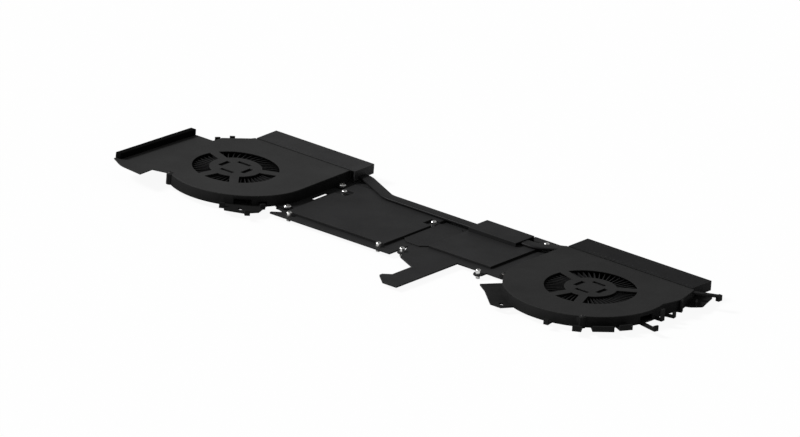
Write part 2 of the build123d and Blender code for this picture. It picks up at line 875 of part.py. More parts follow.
def make_captives(side, points):
    """Captive screws that stand on the carrier and reach through it to the board."""
    with BuildPart() as screws:
        with BuildSketch(Plane.XY.offset(carrier_top)):
            with Locations(*points):
                RegularPolygon(captive_head, captive_sides)
        extrude(amount=captive_head_height)
        # Thread below the carrier, and the thinner neck that turns in its hole
        with BuildSketch(Plane.XY.offset(captive_tip_z)):
            with Locations(*points):
                if side == "left":
                    Circle(captive_radius)
                else:
                    RegularPolygon(captive_radius, captive_sides)
        extrude(amount=neck_bottom - captive_tip_z)
        with BuildSketch(Plane.XY.offset(neck_bottom)):
            with Locations(*points):
                RegularPolygon(captive_neck, small_sides)
        extrude(amount=carrier_top - neck_bottom)
    finish(screws, side + "_captive_screws")


left_captives = [
    (left_screw_x + i * left_screw_span_x / 2, left_screw_y + j * left_screw_span_y / 2)
    for i in (-1, 1)
    for j in (-1, 1)
]
right_captives = [
    (right_screw_x, right_screw_front),
    (right_screw_x, right_screw_rear),
    (near_screw_x, near_screw_y),
]
rear_notches = [point for point in left_captives if point[1] > left_screw_y]

os.makedirs("parts", exist_ok=True)

for fan in (left_fan, right_fan):
    make_housing(fan)
    make_cover(fan)
    make_impeller(fan)
    make_motor(fan)
make_gasket(left_fan)

left_fin_left = left_axis_x - left_outlet_x
left_fin_right = left_fin_left + left_fin_width
right_fin_right = right_axis_x + right_outlet_x
right_fin_left = right_axis_x - right_wall_x + right_fin_inset
right_fin_rear = right_axis_y + right_outlet_y + fin_depth
make_fins("left_fin_stack", left_fin_left, left_fin_right, exhaust_y, left_channel_y)
make_fins("right_fin_stack", right_fin_left, right_fin_right, right_fin_rear, right_channel_y)

make_pipe(
    "left_heat_pipe",
    [
        (left_fin_left + pipe_end_gap, left_channel_y),
        (left_bend_start, left_channel_y),
        (left_bend_end, left_pipe_y),
        (left_pipe_end, left_pipe_y),
    ],
)
make_pipe(
    "right_heat_pipe",
    [
        (right_pipe_start, right_pipe_y),
        (right_bend_start, right_pipe_y),
        (right_bend_end, right_channel_y),
        (right_fin_right - pipe_end_gap, right_channel_y),
    ],
)

make_left_carrier()
make_right_carrier()
make_slab("left_heat_spreader", left_slab_left, left_slab_right, left_slab_front, left_plate_rear, rear_notches)
make_slab(
    "right_heat_spreader", right_slab_left, right_slab_right, right_slab_front,
    right_pipe_y + pipe_width / 2 + slab_margin, [],
)
make_block("left_contact_block", left_block_x, left_block_y, left_block_width, left_block_depth)
make_block("right_contact_block", right_block_x, right_block_y, right_block_width, right_block_depth)
make_bridge()
make_link()
make_captives("left", left_captives)
make_captives("right", right_captives)
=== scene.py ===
import bpy
import bmesh
import math
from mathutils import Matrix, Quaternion, Vector, noise as mathNoise


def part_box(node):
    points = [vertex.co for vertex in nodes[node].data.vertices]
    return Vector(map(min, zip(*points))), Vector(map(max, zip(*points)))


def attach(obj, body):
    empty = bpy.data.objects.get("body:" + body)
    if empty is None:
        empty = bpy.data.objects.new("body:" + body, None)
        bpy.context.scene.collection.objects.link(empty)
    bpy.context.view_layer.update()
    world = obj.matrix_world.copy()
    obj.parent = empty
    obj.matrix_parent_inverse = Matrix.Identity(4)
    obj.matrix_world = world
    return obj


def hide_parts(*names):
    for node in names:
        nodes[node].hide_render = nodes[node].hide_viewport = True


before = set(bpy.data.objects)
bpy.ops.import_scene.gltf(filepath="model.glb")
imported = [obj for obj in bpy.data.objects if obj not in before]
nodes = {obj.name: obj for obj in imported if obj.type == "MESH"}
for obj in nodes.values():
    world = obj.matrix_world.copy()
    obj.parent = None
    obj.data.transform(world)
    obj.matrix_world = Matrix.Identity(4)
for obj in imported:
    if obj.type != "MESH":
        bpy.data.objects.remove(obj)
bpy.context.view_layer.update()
mm = 0.001
scene = bpy.context.scene
scene.view_settings.view_transform = "Standard"
print("frame loaded with", len(nodes), "nodes")

# camera at the photograph's angle, flat projection
cameraView = {
    "target": (-11.93, 6.32, 8.0),  # mm
    "azimuth": 36.2,  # degrees
    "elevation": 20.5,
    "roll": 4.5,
    "frameWidth": 360.0,  # mm
    "distance": 900.0,
    "clip": (0.01, 20.0),  # m
}


def makeCamera(view):
    azimuth, elevation = math.radians(view["azimuth"]), math.radians(view["elevation"])
    level = math.cos(elevation)
    back = Vector((math.sin(azimuth) * level, -math.cos(azimuth) * level, math.sin(elevation)))
    data = bpy.data.cameras.new("photoCamera")
    data.type = "ORTHO"
    data.ortho_scale = view["frameWidth"] * mm
    data.clip_start, data.clip_end = view["clip"]
    camera = bpy.data.objects.new("photoCamera", data)
    scene.collection.objects.link(camera)
    camera.rotation_mode = "QUATERNION"
    aim = (-back).to_track_quat("-Z", "Y")
    camera.rotation_quaternion = aim @ Quaternion((0, 0, 1), math.radians(view["roll"]))
    camera.location = Vector(view["target"]) * mm + back * view["distance"] * mm
    scene.camera = camera


makeCamera(cameraView)

# white room: even ambient and one soft key from the left front
room = {
    "ambient": 0.26,
    "mirrored": 0.4,  # what shiny surfaces see of the room
    "keyStrength": 3.6,
    "keyFrom": (-0.62, -0.42, 0.66),
    "keySoftness": 16.0,  # degrees across
    "floorSize": 6.0,  # m
    "floorLevel": -0.05,  # mm, just clear of the contact faces
    "floorColour": (0.88, 0.88, 0.88, 1),
    "floorLift": 0.93,  # how much of the floor is plain white to the camera
}


def raySwitch(tree, rays):
    path = tree.nodes.new("ShaderNodeLightPath")
    total = path.outputs[rays[0]]
    for ray in rays[1:]:
        top = tree.nodes.new("ShaderNodeMath")
        top.operation = "MAXIMUM"
        tree.links.new(total, top.inputs[0])
        tree.links.new(path.outputs[ray], top.inputs[1])
        total = top.outputs[0]
    return total


def makeRoom(settings):
    world = bpy.data.worlds.new("whiteRoom")
    scene.world = world
    world.use_nodes = True
    tree = world.node_tree
    background = tree.nodes["Background"]
    background.inputs["Color"].default_value = (1, 1, 1, 1)
    shiny = tree.nodes.new("ShaderNodeMapRange")
    shiny.inputs["To Min"].default_value = settings["ambient"]
    shiny.inputs["To Max"].default_value = settings["mirrored"]
    tree.links.new(raySwitch(tree, ("Is Glossy Ray",)), shiny.inputs["Value"])
    seen = tree.nodes.new("ShaderNodeMapRange")  # plain white to the camera
    seen.inputs["To Max"].default_value = 1.0
    tree.links.new(shiny.outputs["Result"], seen.inputs["To Min"])
    tree.links.new(raySwitch(tree, ("Is Camera Ray", "Is Transmission Ray")), seen.inputs["Value"])
    tree.links.new(seen.outputs["Result"], background.inputs["Strength"])

    sun = bpy.data.lights.new("softKey", "SUN")
    sun.energy = settings["keyStrength"]
    sun.angle = math.radians(settings["keySoftness"])
    key = bpy.data.objects.new("softKey", sun)
    scene.collection.objects.link(key)
    key.rotation_mode = "QUATERNION"
    key.rotation_quaternion = (-Vector(settings["keyFrom"])).to_track_quat("-Z", "Y")

    half = settings["floorSize"] / 2
    mesh = bpy.data.meshes.new("paleFloor")
    level = settings["floorLevel"] * mm
    mesh.from_pydata([(-half, -half, level), (half, -half, level), (half, half, level), (-half, half, level)],
                     [], [(0, 1, 2, 3)])
    floor = bpy.data.objects.new("paleFloor", mesh)
    scene.collection.objects.link(floor)
    paper = bpy.data.materials.new("paleFloor")
    paper.use_nodes = True
    tree = paper.node_tree
    matt = tree.nodes["Principled BSDF"]
    matt.inputs["Base Color"].default_value = settings["floorColour"]
    matt.inputs["Roughness"].default_value = 1.0
    matt.inputs["Specular IOR Level"].default_value = 0.0
    glow = tree.nodes.new("ShaderNodeEmission")
    mix = tree.nodes.new("ShaderNodeMixShader")
    share = tree.nodes.new("ShaderNodeMath")
    share.operation = "MULTIPLY"
    share.inputs[1].default_value = settings["floorLift"]
    tree.links.new(raySwitch(tree, ("Is Camera Ray", "Is Transmission Ray")), share.inputs[0])
    tree.links.new(share.outputs[0], mix.inputs["Fac"])
    tree.links.new(matt.outputs[0], mix.inputs[1])
    tree.links.new(glow.outputs[0], mix.inputs[2])
    tree.links.new(mix.outputs[0], tree.nodes["Material Output"].inputs["Surface"])
    mesh.materials.append(paper)


makeRoom(room)
print("camera, light and floor are set")


# small helpers for the finishes; all of them read Object coordinates
def startFinish(name):
    material = bpy.data.materials.new(name)
    material.use_nodes = True
    tree = material.node_tree
    place = tree.nodes.new("ShaderNodeTexCoord").outputs["Object"]
    return material, tree, tree.nodes["Principled BSDF"], place


def stretched(tree, place, scale, turn=(0, 0, 0)):
    mapping = tree.nodes.new("ShaderNodeMapping")
    mapping.inputs["Scale"].default_value = scale
    mapping.inputs["Rotation"].default_value = [math.radians(a) for a in turn]
    tree.links.new(place, mapping.inputs["Vector"])
    return mapping.outputs["Vector"]


noiseRoughness = 0.55


def noise(tree, place, size, detail=3.0):
    node = tree.nodes.new("ShaderNodeTexNoise")  # size is the grain in mm
    node.inputs["Scale"].default_value = 1.0 / (size * mm)
    node.inputs["Detail"].default_value = detail
    node.inputs["Roughness"].default_value = noiseRoughness
    tree.links.new(place, node.inputs["Vector"])
    return node.outputs["Fac"]


def cells(tree, place, size):
    node = tree.nodes.new("ShaderNodeTexVoronoi")
    node.inputs["Scale"].default_value = 1.0 / (size * mm)
    tree.links.new(place, node.inputs["Vector"])
    return node.outputs["Distance"]


def spread(tree, value, low, high, start=0.3, stop=0.7):
    node = tree.nodes.new("ShaderNodeMapRange")
    node.inputs["From Min"].default_value = start
    node.inputs["From Max"].default_value = stop
    node.inputs["To Min"].default_value = low
    node.inputs["To Max"].default_value = high
    tree.links.new(value, node.inputs["Value"])
    return node.outputs["Result"]


def sums(tree, operation, first, second):
    node = tree.nodes.new("ShaderNodeMath")
    node.operation = operation
    for socket, value in zip(node.inputs, (first, second)):
        if isinstance(value, (int, float)):
            socket.default_value = value
        else:
            tree.links.new(value, socket)
    return node.outputs[0]


def tint(tree, factor, first, second):
    node = tree.nodes.new("ShaderNodeMix")
    node.data_type = "RGBA"
    tree.links.new(factor, node.inputs["Factor"])
    for socket, colour in ((node.inputs[6], first), (node.inputs[7], second)):
        if isinstance(colour, tuple):
            socket.default_value = (*colour, 1)
        else:
            tree.links.new(colour, socket)
    return node.outputs[2]


def shade(colour, share):
    return tuple(c * share for c in colour)


def relief(tree, shader, layers):
    normal = None
    for height, depth in layers:  # depth in mm
        bump = tree.nodes.new("ShaderNodeBump")
        bump.inputs["Strength"].default_value = 1.0
        bump.inputs["Distance"].default_value = depth * mm
        tree.links.new(height, bump.inputs["Height"])
        if normal:
            tree.links.new(normal, bump.inputs["Normal"])
        normal = bump.outputs["Normal"]
    tree.links.new(normal, shader.inputs["Normal"])


rubbing = {
    "samples": 6,
    "edge": (0.8, 0.995),  # how far the rounded normal leans from the plain one
    "patch": 1.6,  # mm
    "patchRange": (0.4, 0.65),
    "least": 0.15,
}


def worn(tree, place, reach, amount):
    bevel = tree.nodes.new("ShaderNodeBevel")  # finds the edges that hands rub
    bevel.samples = rubbing["samples"]
    bevel.inputs["Radius"].default_value = reach * mm
    plain = tree.nodes.new("ShaderNodeNewGeometry")
    dot = tree.nodes.new("ShaderNodeVectorMath")
    dot.operation = "DOT_PRODUCT"
    tree.links.new(bevel.outputs["Normal"], dot.inputs[0])
    tree.links.new(plain.outputs["Normal"], dot.inputs[1])
    edge = spread(tree, dot.outputs["Value"], 1.0, 0.0, *rubbing["edge"])
    patchy = spread(tree, noise(tree, place, rubbing["patch"]), rubbing["least"], 1.0, *rubbing["patchRange"])
    return sums(tree, "MULTIPLY", sums(tree, "MULTIPLY", edge, patchy), amount)


# what all the coated sheets share: clouds, specks, rubbed edges and rolling lines
sheetDetail = {
    "cloudShades": (0.87, 1.13),
    "speck": 0.3, "speckRange": (0.58, 0.8), "speckMost": 0.6, "speckShade": 2.4,
    "wearReach": 0.35,  # mm
    "patchesInCloud": 3, "smoother": 0.02, "rougher": 0.03,
    "linePitch": 0.35, "lineDepth": 0.8,
    "detail": 2.0,
}


def coatedSheet(name, coat):
    material, tree, shader, place = startFinish(name)
    base, shared = coat["colour"], sheetDetail
    cloud = spread(tree, noise(tree, place, coat["cloud"]), 0.0, 1.0)
    dusty = tint(tree, cloud, *(shade(base, share) for share in shared["cloudShades"]))
    grains = noise(tree, place, shared["speck"], shared["detail"])
    speck = spread(tree, grains, 0.0, shared["speckMost"], *shared["speckRange"])
    specked = tint(tree, speck, dusty, shade(base, shared["speckShade"]))
    colour = tint(tree, worn(tree, place, shared["wearReach"], coat["wear"]), specked, coat["rubbed"])
    tree.links.new(colour, shader.inputs["Base Color"])
    patches = noise(tree, place, coat["cloud"] / shared["patchesInCloud"])
    rough = spread(tree, patches, coat["rough"] - shared["smoother"], coat["rough"] + shared["rougher"])
    tree.links.new(rough, shader.inputs["Roughness"])
    shader.inputs["Specular IOR Level"].default_value = coat["gloss"]
    layers = [(noise(tree, place, coat["peel"], shared["detail"]), coat["peelDepth"])]
    if coat.get("rolled"):  # long faint lines from the rolling mill
        lines = noise(tree, stretched(tree, place, coat["rolled"]), shared["linePitch"], shared["detail"])
        layers.append((lines, coat["peelDepth"] * shared["lineDepth"]))
    relief(tree, shader, layers)
    return material


# the two fan covers wear one coat in two copies: the left copy is painted lighter and the right copy darker,
# as painted light falling off from left to right
leftCoverLitCoat = {
    "colour": (0.0245, 0.0245, 0.0245), "rubbed": (0.07, 0.07, 0.068), "wear": 0.5, "rough": 0.55,
    "gloss": 0.05, "cloud": 22.0, "peel": 0.5, "peelDepth": 0.022,
}
rightCoverShadedCoat = dict(leftCoverLitCoat, colour=(0.018, 0.018, 0.018), gloss=0.045)
carrierCoat = {
    "colour": (0.0162, 0.0162, 0.0166), "rubbed": (0.07, 0.07, 0.07), "wear": 0.55, "rough": 0.52,
    "gloss": 0.05, "cloud": 14.0, "peel": 0.35, "peelDepth": 0.014, "rolled": (0.05, 1.0, 1.0),
}
spreaderCoat = {
    "colour": (0.0172, 0.0172, 0.0176), "rubbed": (0.07, 0.05, 0.038), "wear": 0.35, "rough": 0.5,
    "gloss": 0.05, "cloud": 18.0, "peel": 0.3, "peelDepth": 0.013, "rolled": (1.0, 0.05, 1.0),
}
pipeCoat = {
    "colour": (0.0105, 0.0105, 0.0108), "rubbed": (0.08, 0.055, 0.04), "wear": 0.25, "rough": 0.45,
    "gloss": 0.07, "cloud": 9.0, "peel": 0.4, "peelDepth": 0.008,
}
# the two fin stacks wear one coat in two copies: the left copy is painted lighter and the right copy much
# darker, as painted light falling off from left to right
leftFinLitCoat = {
    "colour": (0.0228, 0.0228, 0.0232), "rubbed": (0.07, 0.07, 0.07), "wear": 0.4, "rough": 0.5,
    "gloss": 0.05, "cloud": 12.0, "peel": 0.3, "peelDepth": 0.006, "rolled": (1.0, 0.06, 1.0),
}
rightFinShadedCoat = dict(leftFinLitCoat, colour=(0.0095, 0.0095, 0.0098), gloss=0.035)


plasticDetail = {
    "flowShades": (0.8, 1.2),
    "wearReach": 0.25, "wear": 0.4, "rubbedShade": 3.0,
    "patch": 1.5, "smoother": 0.06, "rougher": 0.08,
    "fineGrain": 0.6, "detail": 2.0,
}


def mouldedPlastic(name, plastic):
    material, tree, shader, place = startFinish(name)
    base, shared = plastic["colour"], plasticDetail
    flow = spread(tree, noise(tree, place, plastic["flow"], shared["detail"]), 0.0, 1.0)
    swirl = tint(tree, flow, *(shade(base, share) for share in shared["flowShades"]))
    rubbed = worn(tree, place, shared["wearReach"], shared["wear"])
    colour = tint(tree, rubbed, swirl, shade(base, shared["rubbedShade"]))
    tree.links.new(colour, shader.inputs["Base Color"])
    patches = noise(tree, place, shared["patch"])
    rough = spread(tree, patches, plastic["rough"] - shared["smoother"], plastic["rough"] + shared["rougher"])
    tree.links.new(rough, shader.inputs["Roughness"])
    shader.inputs["Specular IOR Level"].default_value = plastic["gloss"]
    fine = noise(tree, place, plastic["grain"] * shared["fineGrain"], shared["detail"])
    coarse = cells(tree, place, plastic["grain"])
    relief(tree, shader, [(coarse, plastic["grainDepth"]), (fine, plastic["grainDepth"])])
    return material


housingPlastic = {"colour": (0.011, 0.011, 0.011), "rough": 0.6, "gloss": 0.03, "flow": 16.0,
                  "grain": 0.3, "grainDepth": 0.02}
impellerPlastic = {"colour": (0.010, 0.010, 0.0103), "rough": 0.45, "gloss": 0.08, "flow": 8.0,
                   "grain": 0.22, "grainDepth": 0.006}
magnetRubber = {"colour": (0.045, 0.042, 0.04), "rough": 0.7, "gloss": 0.25, "flow": 2.0,
                "grain": 0.15, "grainDepth": 0.015}
solderMask = {"colour": (0.008, 0.05, 0.02), "rough": 0.35, "gloss": 0.4, "flow": 3.0,
              "grain": 0.12, "grainDepth": 0.004}


metalDetail = {"stainRange": (0.45, 0.75), "stainRough": 0.18, "lineRough": (-0.05, 0.08), "detail": 2.0}


def bareMetal(name, metal):
    material, tree, shader, place = startFinish(name)
    shared = metalDetail
    shader.inputs["Metallic"].default_value = 1.0
    stain = spread(tree, noise(tree, place, metal["stain"]), 0.0, 1.0, *shared["stainRange"])
    tree.links.new(tint(tree, stain, metal["colour"], metal["dull"]), shader.inputs["Base Color"])
    along = stretched(tree, place, metal["lines"], metal.get("turn", (0, 0, 0)))
    lines = noise(tree, along, metal["pitch"], shared["detail"])
    duller = sums(tree, "MULTIPLY", stain, shared["stainRough"])
    rough = sums(tree, "ADD", spread(tree, lines, *shared["lineRough"]), duller)
    tree.links.new(sums(tree, "ADD", rough, metal["rough"]), shader.inputs["Roughness"])
    relief(tree, shader, [(lines, metal["depth"])])
    return material


milledCopper = {"colour": (0.72, 0.40, 0.25), "dull": (0.38, 0.20, 0.12), "rough": 0.28, "stain": 5.0,
                "pitch": 0.16, "lines": (1.0, 0.04, 1.0), "turn": (0, 0, 12), "depth": 0.008}
platedSteel = {"colour": (0.7, 0.7, 0.69), "dull": (0.5, 0.49, 0.47), "rough": 0.24, "stain": 0.9,
               "pitch": 0.1, "lines": (1.0, 1.0, 0.3), "depth": 0.004}
groundSteel = {"colour": (0.6, 0.6, 0.6), "dull": (0.42, 0.42, 0.43), "rough": 0.22, "stain": 1.2,
               "pitch": 0.05, "lines": (0.1, 0.1, 1.0), "depth": 0.003}
sinteredBronze = {"colour": (0.6, 0.42, 0.22), "dull": (0.32, 0.22, 0.12), "rough": 0.5, "stain": 0.4,
                  "pitch": 0.08, "lines": (1.0, 1.0, 1.0), "depth": 0.01}
stampedCore = {"colour": (0.36, 0.36, 0.37), "dull": (0.2, 0.2, 0.22), "rough": 0.42, "stain": 1.0,
               "pitch": 0.12, "lines": (0.05, 0.05, 1.0), "depth": 0.02}
enamelWire = {"colour": (0.62, 0.24, 0.1), "dull": (0.4, 0.14, 0.06), "rough": 0.3, "stain": 0.8,
              "pitch": 0.12, "lines": (0.05, 1.0, 1.0), "depth": 0.03}
blackOxide = {"colour": (0.03, 0.03, 0.032), "dull": (0.06, 0.055, 0.05), "rough": 0.4, "stain": 0.8,
              "pitch": 0.1, "lines": (1.0, 1.0, 0.4), "depth": 0.005}


def closedCellFoam(name, foam):
    material, tree, shader, place = startFinish(name)
    pores = cells(tree, place, foam["pore"])
    # the pore hollows are painted darker than the cell walls: painted shade in the pits that the pore bump
    # makes
    wall = spread(tree, pores, 0.0, 1.0, *foam["poreRange"])
    colour = tint(tree, wall, shade(foam["colour"], foam["poreHollowPaintedShade"]), foam["colour"])
    tree.links.new(colour, shader.inputs["Base Color"])
    rough = spread(tree, noise(tree, place, foam["patch"]), *foam["rough"])
    tree.links.new(rough, shader.inputs["Roughness"])
    shader.inputs["Specular IOR Level"].default_value = foam["gloss"]
    skin = noise(tree, place, foam["skin"], foam["detail"])
    relief(tree, shader, [(pores, foam["depth"]), (skin, foam["skinDepth"])])
    return material


foamSkin = {
    "colour": (0.0045, 0.0045, 0.0045), "gloss": 0.01, "rough": (0.85, 1.0), "patch": 2.0,
    # the pore tone below darkens the pore hollows: painted shade
    "pore": 0.35, "poreRange": (0.1, 0.6), "poreHollowPaintedShade": 0.45, "depth": 0.09,
    "skin": 0.15, "skinDepth": 0.045, "detail": 2.0,
}

finish = {
    # leftCover and rightCover are painted lighter and darker copies of one coat: painted light, brighter on
    # the left
    "leftCover": coatedSheet("leftCoverLitCoat", leftCoverLitCoat),
    "rightCover": coatedSheet("rightCoverShadedCoat", rightCoverShadedCoat),
    "carrier": coatedSheet("carrierCoat", carrierCoat),
    "spreader": coatedSheet("spreaderCoat", spreaderCoat),
    "pipe": coatedSheet("pipeCoat", pipeCoat),
    # leftFins and rightFins are painted lighter and darker copies of one coat: painted light, brighter on the
    # left
    "leftFins": coatedSheet("leftFinLitCoat", leftFinLitCoat),
    "rightFins": coatedSheet("rightFinShadedCoat", rightFinShadedCoat),
    "housing": mouldedPlastic("housingPlastic", housingPlastic),
    "impeller": mouldedPlastic("impellerPlastic", impellerPlastic),
    "magnet": mouldedPlastic("magnetRubber", magnetRubber),
    "board": mouldedPlastic("solderMask", solderMask),
    "copper": bareMetal("milledCopper", milledCopper),
    "screw": bareMetal("platedSteel", platedSteel),
    "blackScrew": bareMetal("blackOxide", blackOxide),
    "shaft": bareMetal("groundSteel", groundSteel),
    "bronze": bareMetal("sinteredBronze", sinteredBronze),
    "core": bareMetal("stampedCore", stampedCore),
    "coils": bareMetal("enamelWire", enamelWire),
    "foam": closedCellFoam("foamStrip", foamSkin),
}

# which finish each node wears; {side} is left or right
nodeFinish = {
    "{side}_fan_cover": "{side}Cover", "{side}_fan_housing": "housing", "{side}_impeller": "impeller",
    "{side}_rotor_magnet": "magnet", "{side}_rotor_shaft": "shaft", "{side}_bearing_sleeve": "bronze",
    "{side}_stator_core": "core", "{side}_stator_coils": "coils", "{side}_motor_board": "board",
    "{side}_fin_stack": "{side}Fins", "{side}_carrier_plate": "carrier", "{side}_heat_spreader": "spreader",
    "{side}_contact_block": "copper", "{side}_heat_pipe": "pipe", "{side}_captive_screws": "screw",
    "pipe_bridge": "carrier", "link_sheet": "carrier", "gasket_strip": "foam",
}


def dressNodes():
    for pattern, key in nodeFinish.items():
        for side in ("left", "right") if "{side}" in pattern else ("",):
            mesh = nodes[pattern.format(side=side)].data
            mesh.materials.clear()
            mesh.materials.append(finish[key.format(side=side)])


dressNodes()
print("finishes made:", len(finish))

# stamped and moulded edges: a small round on every sharp edge of the pieces that show
edgeRounds = {
    "fan_cover": 0.12, "fan_housing": 0.15, "carrier_plate": 0.1, "heat_spreader": 0.2, "contact_block": 0.2,
    "pipe_bridge": 0.15, "link_sheet": 0.12, "impeller": 0.05,  # mm
}
rounding = {"weld": 0.002, "flatAngle": 0.5, "segments": 2, "sharpAngle": 50.0}  # mm and degrees


def roundEdges():
    for name, node in nodes.items():
        width = next((w for key, w in edgeRounds.items() if name.endswith(key)), None)
        if width:
            weld = node.modifiers.new("weld", "WELD")
            weld.merge_threshold = rounding["weld"] * mm
            flat = node.modifiers.new("flat", "DECIMATE")
            flat.decimate_type = "DISSOLVE"
            flat.angle_limit = math.radians(rounding["flatAngle"])
            bevel = node.modifiers.new("round", "BEVEL")
            bevel.width = width * mm
            bevel.segments = rounding["segments"]
            bevel.limit_method = "ANGLE"
            bevel.angle_limit = math.radians(rounding["sharpAngle"])
            bevel.use_clamp_overlap = True
            bevel.harden_normals = True


roundEdges()
print("edges rounded")


# Geometry Nodes helpers
def newTree(name, inputs):
    tree = bpy.data.node_groups.new(name, "GeometryNodeTree")
    tree.interface.new_socket("Geometry", in_out="INPUT", socket_type="NodeSocketGeometry")
    for label, kind in inputs.items():
        tree.interface.new_socket(label, in_out="INPUT", socket_type="NodeSocket" + kind)
    tree.interface.new_socket("Geometry", in_out="OUTPUT", socket_type="NodeSocketGeometry")
    entry = tree.nodes.new("NodeGroupInput")
    leave = tree.nodes.new("NodeGroupOutput")
    return tree, entry.outputs, leave.inputs["Geometry"]


def put(tree, kind, inputs, **settings):
    node = tree.nodes.new(kind)
    for key, value in settings.items():
        setattr(node, key, value)
    for key, value in inputs.items():
        for one in value if isinstance(value, list) else [value]:
            if isinstance(one, bpy.types.NodeSocket):
                tree.links.new(one, node.inputs[key])
            else:
                node.inputs[key].default_value = one
    return node.outputs


def calc(tree, operation, first, second):
    return put(tree, "ShaderNodeMath", {0: first, 1: second}, operation=operation)[0]


def upTo(tree, height):
    return put(tree, "ShaderNodeCombineXYZ", {"Z": height})[0]


def moved(tree, geometry, height):
    return put(tree, "GeometryNodeTransform", {"Geometry": geometry, "Translation": upTo(tree, height)})[0]


def circle(tree, steps, radius):
    return put(tree, "GeometryNodeCurvePrimitiveCircle", {"Resolution": steps, "Radius": radius})["Curve"]


def closeTree(tree, geometry, material, leave):
    real = put(tree, "GeometryNodeRealizeInstances", {"Geometry": geometry})[0]
    tree.links.new(put(tree, "GeometryNodeSetMaterial", {"Geometry": real, "Material": material})[0], leave)
    return tree


def growPiece(name, points, links, tree, values, smoothTo=35.0):
    seedMesh = bpy.data.meshes.new(name + "Seed")
    seedMesh.from_pydata([tuple(v * mm for v in point) for point in points], links, [])
    seed = bpy.data.objects.new(name + "Seed", seedMesh)
    scene.collection.objects.link(seed)
    modifier = seed.modifiers.new("grow", "NODES")
    modifier.node_group = tree
    for item in tree.interface.items_tree:
        if item.in_out == "INPUT" and item.name in values:
            modifier[item.identifier] = values[item.name]
    mesh = bpy.data.meshes.new_from_object(seed.evaluated_get(bpy.context.evaluated_depsgraph_get()))
    mesh.name = name
    bpy.data.objects.remove(seed)
    mesh.shade_smooth()
    mesh.set_sharp_from_angle(angle=math.radians(smoothTo))
    piece = bpy.data.objects.new(name, mesh)
    scene.collection.objects.link(piece)
    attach(piece, "module")
    print("grown:", name, len(mesh.polygons), "faces")
    return piece


# screws: chamfered head with a cross recess, threaded shank, ring that keeps it in its plate
screwFacets = {"head": 36, "shank": 24, "ridge": 5, "ring": 32, "wire": 8}


